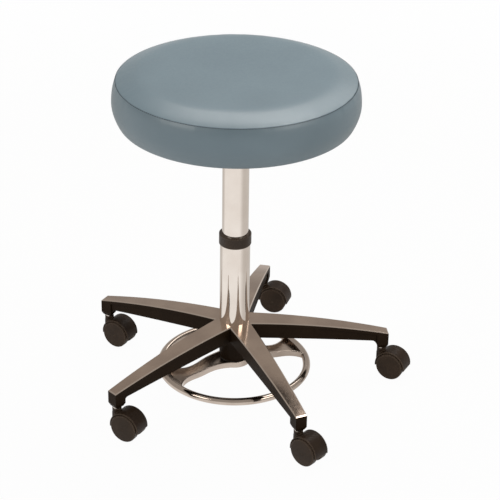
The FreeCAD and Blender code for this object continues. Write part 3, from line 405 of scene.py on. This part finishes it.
finishes = {
    "seat_vinyl": vinylMaterial(vinylFinish),
    "base_aluminium": baseMaterial(baseFinish),
    "board_wood": boardMaterial(boardFinish),
    "cover_cloth": clothMaterial(clothFinish),
}
finishes.update({name: chromeMaterial(name, f) for name, f in chromeFinishes.items()})
finishes.update({name: plasticMaterial(name, f) for name, f in plasticFinishes.items()})
finishes.update({name: steelMaterial(name, f) for name, f in steelFinishes.items()})
for part in frame["record"]["subparts"]:
    for place in nodes[part["node"]].material_slots:
        place.material = finishes[part["material_slot"]]
print("finishes:", len(finishes), "materials on the CAD pieces")


# mesh helpers
def gridFaces(rows, columns):
    # quads between neighbouring rows; the last column joins the first
    row, column = np.meshgrid(np.arange(rows - 1), np.arange(columns), indexing="ij")
    after = (column + 1) % columns
    corners = [row * columns + column, (row + 1) * columns + column,
               (row + 1) * columns + after, row * columns + after]
    return np.stack(corners, axis=-1).reshape(-1, 4)


def makePiece(name, points, faces, body, material):
    mesh = bpy.data.meshes.new(name)
    mesh.from_pydata(points.reshape(-1, 3).tolist(), [], faces)
    mesh.validate()
    mesh.polygons.foreach_set("use_smooth", np.ones(len(mesh.polygons), dtype=bool))
    made = bpy.data.objects.new(name, mesh)
    scene.collection.objects.link(made)
    made.data.materials.append(material)
    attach(made, body)
    return made


def hermite(start, end, leave, arrive, count):
    # cubic curve between two profile points, with the way it leaves and arrives
    t = np.linspace(0, 1, count)[:, None]
    return ((2 * t ** 3 - 3 * t ** 2 + 1) * np.array(start) + (t ** 3 - 2 * t ** 2 + t) * np.array(leave)
            + (3 * t ** 2 - 2 * t ** 3) * np.array(end) + (t ** 3 - t ** 2) * np.array(arrive))


# seat cushion: its outline as radius and height in millimetres, and each curve's ways and number of points;
# it starts slack and the filling swells it, with moves and puckers in metres
seatPad = {
    "columns": 192,
    "crown": 575.0, "shoulder": (160.0, 572.0), "upperLip": (194.9, 564.1), "seam": (194.3, 562.8),
    "lowerLip": (194.5, 561.6), "widest": (201.6, 526.0), "skirt": (192.2, 496.2), "hem": (190.4, 494.2),
    "hemRise": 0.6, "boardTop": 508.6, "underRadii": (188.4, 120, 50, 0), "heldEnd": 7,
    "topWays": ((150, 0), (90, -12), 22), "rimWays": ((34, -4.5), (8, -26), 9),
    "upperWays": ((14, -16), (0, -34), 8), "lowerWays": ((0, -30), (-12, -20), 8),
    "pressure": 4.0, "frames": 20, "quality": 6, "mostMove": 0.0045, "ownMove": 0.05, "calmReach": 0.09,
    "puckers": (37, 61, 89), "puckerDepth": 0.00025, "puckerReach": 0.012, "puckersFrom": 0.15,
}


def seatProfile(s):
    # crown to rim, in to the seam, out over the side, then round the hem and up inside to the board
    top = hermite((0, s["crown"]), s["shoulder"], *s["topWays"])
    rim = hermite(s["shoulder"], s["upperLip"], *s["rimWays"])[1:]
    upper = hermite(s["lowerLip"], s["widest"], *s["upperWays"])
    lower = hermite(s["widest"], s["skirt"], *s["lowerWays"])[1:]
    hem = np.array([s["hem"], (s["underRadii"][0], s["hem"][1] + s["hemRise"])])
    under = np.array([(radius, s["boardTop"]) for radius in s["underRadii"]])
    return np.concatenate([top, rim, [s["seam"]], upper, lower, hem, under]) / 1000, len(top) + len(rim)


def lathe(profile, columns):
    # each profile point is carried once round the column's axis; the first and last are poles
    angle = np.linspace(0, 2 * np.pi, columns, endpoint=False)
    radius, height = profile[1:-1, 0, None], profile[1:-1, 1, None]
    rings = np.stack([radius * np.cos(angle), radius * np.sin(angle), height + 0 * angle], axis=-1)
    points = np.concatenate([rings.reshape(-1, 3), [(0, 0, profile[0, 1]), (0, 0, profile[-1, 1])]])
    around = np.arange(columns)
    last = (len(profile) - 3) * columns
    count = (len(profile) - 2) * columns
    first = np.stack([around, np.roll(around, -1), np.full(columns, count)], axis=-1)
    final = np.stack([last + np.roll(around, -1), last + around, np.full(columns, count + 1)], axis=-1)
    return points, gridFaces(len(profile) - 2, columns).tolist() + first.tolist() + final.tolist()


def swell(piece, pinned, s):
    # cloth filled from inside, held at the seam and under the board; returns where each point ends
    group = piece.vertex_groups.new(name="held")
    group.add(pinned.tolist(), 1.0, "REPLACE")
    cloth = piece.modifiers.new("filling", "CLOTH")
    cloth.settings.use_pressure = True
    cloth.settings.uniform_pressure_force = s["pressure"]
    cloth.settings.effector_weights.gravity = 0
    cloth.settings.vertex_group_mass = group.name
    cloth.settings.quality = s["quality"]
    cloth.collision_settings.use_collision = False
    cloth.point_cache.frame_start, cloth.point_cache.frame_end = 1, s["frames"]
    for number in range(1, s["frames"] + 1):
        scene.frame_set(number)
    filled = piece.evaluated_get(bpy.context.evaluated_depsgraph_get()).to_mesh()
    after = np.empty(len(filled.vertices) * 3)
    filled.vertices.foreach_get("co", after)
    piece.modifiers.remove(cloth)
    piece.vertex_groups.remove(group)
    scene.frame_set(1)
    return after.reshape(-1, 3)


def evenOut(move, points, columns, s):
    # the filling is firm: each ring keeps its mean move out and up, and only a little of its own folds;
    # the middle of the top rises all alike
    rings = (len(points) - 2) // columns
    angle = np.arctan2(points[:-2, 1], points[:-2, 0])
    out = move[:-2, 0] * np.cos(angle) + move[:-2, 1] * np.sin(angle)
    mean = np.stack([out, move[:-2, 2]], axis=-1).reshape(rings, columns, 2).mean(axis=1)
    radius = np.hypot(points[:-2, 0], points[:-2, 1]).reshape(rings, columns)[:, 0]
    middle = (radius < s["calmReach"]) & (np.arange(rings) < rings // 2)
    share = np.stack([radius / s["calmReach"], np.ones(rings)], axis=-1)
    mean[middle] = mean[np.count_nonzero(middle)] * share[middle]
    own = s["ownMove"] * np.repeat(~middle, columns)[:, None]
    each = np.repeat(mean, columns, axis=0)
    calm = np.stack([each[:, 0] * np.cos(angle), each[:, 0] * np.sin(angle), each[:, 1]], axis=-1)
    poles = np.array([(0, 0, mean[0, 1]), (0, 0, mean[-1, 1])])
    return np.concatenate([calm * (1 - own) + move[:-2] * own, poles])


def makeCushion(s):
    profile, seamRow = seatProfile(s)
    columns = s["columns"]
    points, faces = lathe(profile, columns)
    cushion = makePiece("seatCushion", points, faces, "seat", finishes["seat_vinyl"])
    held = np.concatenate([np.arange(columns) + (seamRow - 1) * columns,
                           np.arange((len(profile) - 1 - s["heldEnd"]) * columns, len(points))])
    move = swell(cushion, held, s) - points
    far = np.linalg.norm(move, axis=1, keepdims=True)
    move = move * np.minimum(1, s["mostMove"] / np.maximum(far, 1e-9))
    points = points + evenOut(move, points, columns, s)
    print("cushion: swelled by up to", round(float(far.max()) * 1000, 1), "mm")
    # shallow puckers that die away from the seam
    angle = np.arctan2(points[:, 1], points[:, 0])
    near = np.exp(-((points[:, 2] - s["seam"][1] / 1000) / s["puckerReach"]) ** 2)
    near = near * (np.hypot(points[:, 0], points[:, 1]) > s["puckersFrom"])
    wave = sum(np.sin(count * angle + count) for count in s["puckers"]) * s["puckerDepth"] * near
    points[:, 0] += wave * np.cos(angle)
    points[:, 1] += wave * np.sin(angle)
    cushion.data.vertices.foreach_set("co", points.ravel())
    cushion.data.update()
    smooth = cushion.modifiers.new("smooth", "SUBSURF")
    smooth.levels = smooth.render_levels = 1
    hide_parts("seat_cushion")


# stitches: one small rounded thread after another, lying in the seam
seamStitch = {"radius": 0.1945, "height": 0.5626, "count": 260, "halfLength": 0.0014, "thick": 0.0008,
              "ends": 7, "sides": 8, "endGap": 0.12}


def makeStitches(s):
    # ellipsoids: along = half length x cos t, across = thickness x sin t round the thread
    t = np.linspace(s["endGap"], np.pi - s["endGap"], s["ends"])[:, None]
    u = np.linspace(0, 2 * np.pi, s["sides"], endpoint=False)[None]
    along = s["halfLength"] * np.cos(t) + 0 * u
    out = s["thick"] * np.sin(t) * np.cos(u)
    rise = s["thick"] * np.sin(t) * np.sin(u)
    angle = (np.arange(s["count"]) * 2 * np.pi / s["count"])[:, None, None]
    radius = s["radius"] + out[None]
    points = np.stack([radius * np.cos(angle) - along[None] * np.sin(angle),
                       radius * np.sin(angle) + along[None] * np.cos(angle),
                       s["height"] + rise[None] + 0 * angle], axis=-1)
    each = s["ends"] * s["sides"]
    wall = gridFaces(s["ends"], s["sides"])[:, ::-1]
    caps = np.array([np.arange(s["sides"]), np.arange(each - 1, each - 1 - s["sides"], -1)])
    start = np.arange(s["count"]) * each
    faces = (start[:, None, None] + wall[None]).reshape(-1, 4).tolist()
    faces += (start[:, None, None] + caps[None]).reshape(-1, s["sides"]).tolist()
    makePiece("seamStitches", points, faces, "seat", threadMaterial(threadFinish))


# cloth stretched under the board, in millimetres; it hangs a little between the plate and its stapled edge
dustCloth = {"columns": 192, "rings": 24, "rim": 187.5, "top": 495.75, "foot": 495.05, "plateReach": 100.0,
             "sag": 0.9, "waves": (5, 8), "waveShare": 0.3}


def makeDustCloth(s):
    # flat disc, lowered by sag x sine across the free band, more and less in turn round the axis
    radius = np.linspace(0, s["rim"], s["rings"])
    profile = np.concatenate([np.stack([radius, np.full(s["rings"], s["top"])], axis=-1),
                              np.stack([radius[::-1], np.full(s["rings"], s["foot"])], axis=-1)])
    points, faces = lathe(profile / 1000, s["columns"])
    angle = np.arctan2(points[:, 1], points[:, 0])
    across = (np.hypot(points[:, 0], points[:, 1]) * 1000 - s["plateReach"]) / (s["rim"] - s["plateReach"])
    turns = sum(np.sin(count * angle + count) for count in s["waves"])
    points[:, 2] -= s["sag"] / 1000 * np.sin(np.pi * np.clip(across, 0, 1)) * (1 + s["waveShare"] * turns)
    cloth = makePiece("dustCloth", points, faces, "seat", finishes["cover_cloth"])
    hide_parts("dust_cover")


makeCushion(seatPad)
makeStitches(seamStitch)
makeDustCloth(dustCloth)
print("seat: cushion,", seamStitch["count"], "stitches and the cloth under the board")


# camera, as fitted to the photograph; heading is from +Y towards +X, all angles in degrees
photoCamera = {"focalPixels": 1819.25, "imagePixels": 500, "sensor": 36.0, "heading": 24.602, "pitch": 28.043,
               "roll": 0.831, "position": (-1.0997, -2.4619, 1.68965)}


def makeCamera(c):
    heading, pitch, roll = np.radians([c["heading"], c["pitch"], c["roll"]])
    ahead = np.array([np.sin(heading) * np.cos(pitch), np.cos(heading) * np.cos(pitch), -np.sin(pitch)])
    level = np.array([np.cos(heading), -np.sin(heading), 0])
    rise = np.cross(level, ahead)
    right = np.cos(roll) * level + np.sin(roll) * rise
    up = np.cos(roll) * rise - np.sin(roll) * level
    data = bpy.data.cameras.new("photoView")
    data.sensor_width = c["sensor"]
    data.lens = c["focalPixels"] * c["sensor"] / c["imagePixels"]
    made = bpy.data.objects.new("photoView", data)
    turn = np.eye(4)
    turn[:3, 0], turn[:3, 1], turn[:3, 2], turn[:3, 3] = right, up, -ahead, c["position"]
    made.matrix_world = Matrix(turn.tolist())
    scene.collection.objects.link(made)
    scene.camera = made


makeCamera(photoCamera)

# soft boxes: side is degrees round from the camera, positive to its right; all look at the stool's middle
softBoxes = {
    "overhead": {"side": 165, "rise": 70, "far": 1.65, "wide": 1.6, "deep": 0.40, "power": 12,
                 "colour": (1, 0.985, 0.96)},
    "rearRight": {"side": 145, "rise": 45, "far": 2.4, "wide": 0.45, "deep": 1.9, "power": 8,
                  "colour": (1, 0.985, 0.96)},
    "leftFront": {"side": -53, "rise": 26, "far": 2.3, "wide": 1.1, "deep": 0.5, "power": 8,
                  "colour": (1, 0.97, 0.93)},
    "rightFront": {"side": 54, "rise": 28, "far": 2.3, "wide": 1.1, "deep": 0.5, "power": 8,
                   "colour": (1, 0.97, 0.93)},
}
lightAim = Vector((0, 0, 0.42))


def makeSoftBox(name, b, heading):
    turn, rise = np.radians(b["side"] - heading), np.radians(b["rise"])
    away = Vector((np.sin(turn) * np.cos(rise), -np.cos(turn) * np.cos(rise), np.sin(rise)))
    data = bpy.data.lights.new(name, "AREA")
    data.shape, data.size, data.size_y = "RECTANGLE", b["wide"], b["deep"]
    data.energy, data.color = b["power"], b["colour"]
    made = bpy.data.objects.new(name, data)
    made.location = lightAim + away * b["far"]
    made.rotation_euler = away.to_track_quat("Z", "Y").to_euler()
    scene.collection.objects.link(made)


for name, box in softBoxes.items():
    makeSoftBox(name, box, photoCamera["heading"])

# white surroundings for the eye and for reflections, under a grey ceiling that only reflections show,
# and a calmer level for the light that falls on the stool
roomLight = {"ambient": (0.42, 0.415, 0.40, 1), "seen": (1, 1, 1, 1), "ceiling": (0.46, 0.44, 0.42, 1),
             "ceilingStarts": (-0.05, 0.14), "floor": (0.66, 0.65, 0.64, 1), "floorGlow": 0.97,
             "glowFull": (0.9, 2.6),
             "floorDim": (0.66, 0.64, 0.62, 1), "dimSides": ((100, 0.40, 0.95), (180, 0.1, 0.6)),
             "floorHalf": 9.0}


def rayKinds(tree):
    # 1 for rays from the camera or through glass, and 1 for mirrored rays
    path = addNode(tree, "ShaderNodeLightPath").outputs
    seen = mathNode(tree, "MAXIMUM", path["Is Camera Ray"], path["Is Transmission Ray"])
    return seen, path["Is Glossy Ray"]


def makeRoom(r, heading):
    world = bpy.data.worlds.new("studio")
    world.use_nodes = True
    tree = world.node_tree
    seen, mirrored = rayKinds(tree)
    height = addNode(tree, "ShaderNodeSeparateXYZ")
    tree.links.new(addNode(tree, "ShaderNodeTexCoord").outputs["Generated"], height.inputs[0])
    above = spread(tree, height.outputs["Z"], *r["ceilingStarts"], 0, 1)
    unseen = mixColour(tree, mirrored, r["ambient"], mixColour(tree, above, r["seen"], r["ceiling"]))
    feed(tree, tree.nodes["Background"].inputs["Color"], mixColour(tree, seen, unseen, r["seen"]))
    scene.world = world
    half = r["floorHalf"]
    mesh = bpy.data.meshes.new("floor")
    corners = [(-half, -half, 0), (half, -half, 0), (half, half, 0), (-half, half, 0)]
    mesh.from_pydata(corners, [], [(0, 1, 2, 3)])
    floor = bpy.data.objects.new("floor", mesh)
    scene.collection.objects.link(floor)
    made = bpy.data.materials.new("paleFloor")
    made.use_nodes = True
    tree = made.node_tree
    tree.nodes.clear()
    matt = addNode(tree, "ShaderNodeBsdfDiffuse")
    matt.inputs["Color"].default_value = r["floor"]
    glow = addNode(tree, "ShaderNodeEmission")
    blend = addNode(tree, "ShaderNodeMixShader")
    seen, mirrored = rayKinds(tree)
    # mirrored, the floor falls off on some sides of the stool: degrees round from the camera,
    # then the cosines between which it does
    way = addNode(tree, "ShaderNodeVectorMath", operation="NORMALIZE")
    spot = addNode(tree, "ShaderNodeTexCoord").outputs["Object"]
    tree.links.new(spot, way.inputs[0])
    falls = []
    for side, starts, full in r["dimSides"]:
        aside = addNode(tree, "ShaderNodeVectorMath", operation="DOT_PRODUCT")
        turn = np.radians(side - heading)
        aside.inputs[1].default_value = (np.sin(turn), -np.cos(turn), 0)
        tree.links.new(way.outputs[0], aside.inputs[0])
        falls.append(spread(tree, aside.outputs["Value"], starts, full, 0, 1))
    dim = mathNode(tree, "MULTIPLY", mirrored, mathNode(tree, "MAXIMUM", *falls))
    feed(tree, glow.inputs["Color"], mixColour(tree, dim, r["seen"], r["floorDim"]))
    # away from the stool the floor turns as white as its surroundings, so no horizon shows
    away = addNode(tree, "ShaderNodeVectorMath", operation="LENGTH")
    tree.links.new(spot, away.inputs[0])
    glowing = spread(tree, away.outputs["Value"], *r["glowFull"], r["floorGlow"], 1)
    shown = mathNode(tree, "MAXIMUM", seen, mirrored)
    feed(tree, blend.inputs[0], mathNode(tree, "MULTIPLY", shown, glowing))
    tree.links.new(matt.outputs[0], blend.inputs[1])
    tree.links.new(glow.outputs[0], blend.inputs[2])
    out = addNode(tree, "ShaderNodeOutputMaterial")
    tree.links.new(blend.outputs[0], out.inputs[0])
    mesh.materials.append(made)


makeRoom(roomLight, photoCamera["heading"])
print("stage: camera,", len(softBoxes), "soft boxes, floor and white surroundings")
